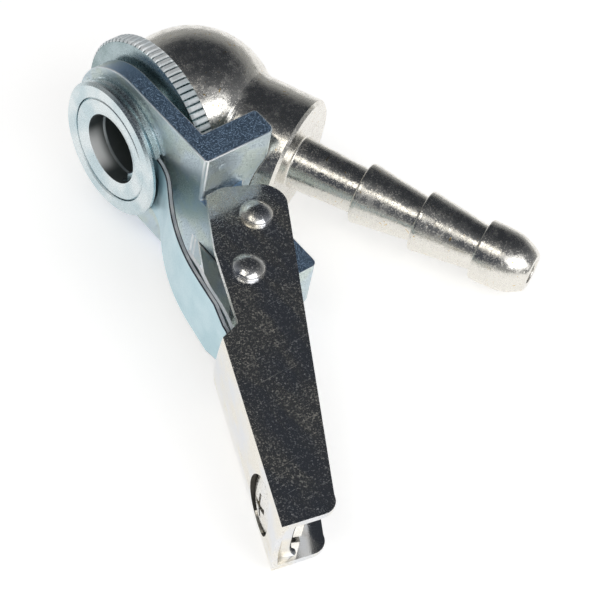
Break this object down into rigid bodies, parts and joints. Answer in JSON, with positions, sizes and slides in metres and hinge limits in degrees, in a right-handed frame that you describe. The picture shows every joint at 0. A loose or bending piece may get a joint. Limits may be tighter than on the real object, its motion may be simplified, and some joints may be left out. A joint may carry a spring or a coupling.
{
  "type": "clip-on tyre valve connector",
  "caption": "Clip-on tyre valve connector with an elbow body, barbed hose tail, knurled ring and a squeeze lever that works a spring jaw.",
  "frame": {"origin": "centre of the nose's mouth: on the axis of the tyre valve bore, in the plane of the front rim", "axes": "+X along the nose axis from the mouth to the rear; -Y towards the lever and the hose tail; +Z across the lever, square to the plane that holds both axes"},
  "size_m": [0.0509, 0.0664, 0.023],
  "materials": {
    "nickel_plated_brass": "polished",
    "zinc_plated_steel": "satin",
    "zinc_plated_bracket": "satin",
    "zinc_plated_spring_steel": "satin",
    "nickel_plated_steel": "polished",
    "turned_brass": "polished",
    "nitrile_rubber": "matte",
    "vulcanised_fibre": "matte"
  },
  "bodies": {
    "connector_body": {"elbow_body": "nickel_plated_brass", "hose_tail": "nickel_plated_brass", "tail_washer": "vulcanised_fibre", "nose_barrel": "zinc_plated_steel", "valve_guide": "zinc_plated_steel", "valve_seal": "nitrile_rubber", "joint_washer": "vulcanised_fibre", "knurled_ring": "zinc_plated_steel", "bracket": "zinc_plated_bracket", "poppet_spring": "zinc_plated_spring_steel"},
    "squeeze_lever": {"lever": "nickel_plated_steel", "lever_rivets": "nickel_plated_steel", "spacer_sleeve": "zinc_plated_steel"},
    "jaw_arm": {"jaw": "zinc_plated_spring_steel", "leaf_spring": "zinc_plated_spring_steel", "jaw_screw": "nickel_plated_steel", "clamp_nut": "zinc_plated_steel"},
    "check_valve": {"check_poppet": "turned_brass", "poppet_face": "nitrile_rubber"}
  },
  "joints": [
    {"name": "lever_squeeze", "type": "hinge", "parent": "connector_body", "child": "squeeze_lever", "pos_m": [0.006, -0.01935, 0], "axis": [0, 0, 1], "range_deg": [0, 7], "stiffness_Nm_per_rad": 1.5, "springref_deg": -6.88},
    {"name": "jaw_draw", "type": "hinge", "parent": "squeeze_lever", "child": "jaw_arm", "pos_m": [-0.01446, -0.0491, 0], "axis": [0, 0, 1], "range_deg": [-2.4, 0]},
    {"name": "poppet_push", "type": "slide", "parent": "connector_body", "child": "check_valve", "axis": [1, 0, 0], "range_m": [0, 0.0016], "stiffness_N_per_m": 800, "springref_m": -0.002, "deforming": ["poppet_spring"]}
  ],
  "couplings": [
    {"joint": "jaw_draw", "follows": "lever_squeeze", "ratio": -0.3322}
  ]
}
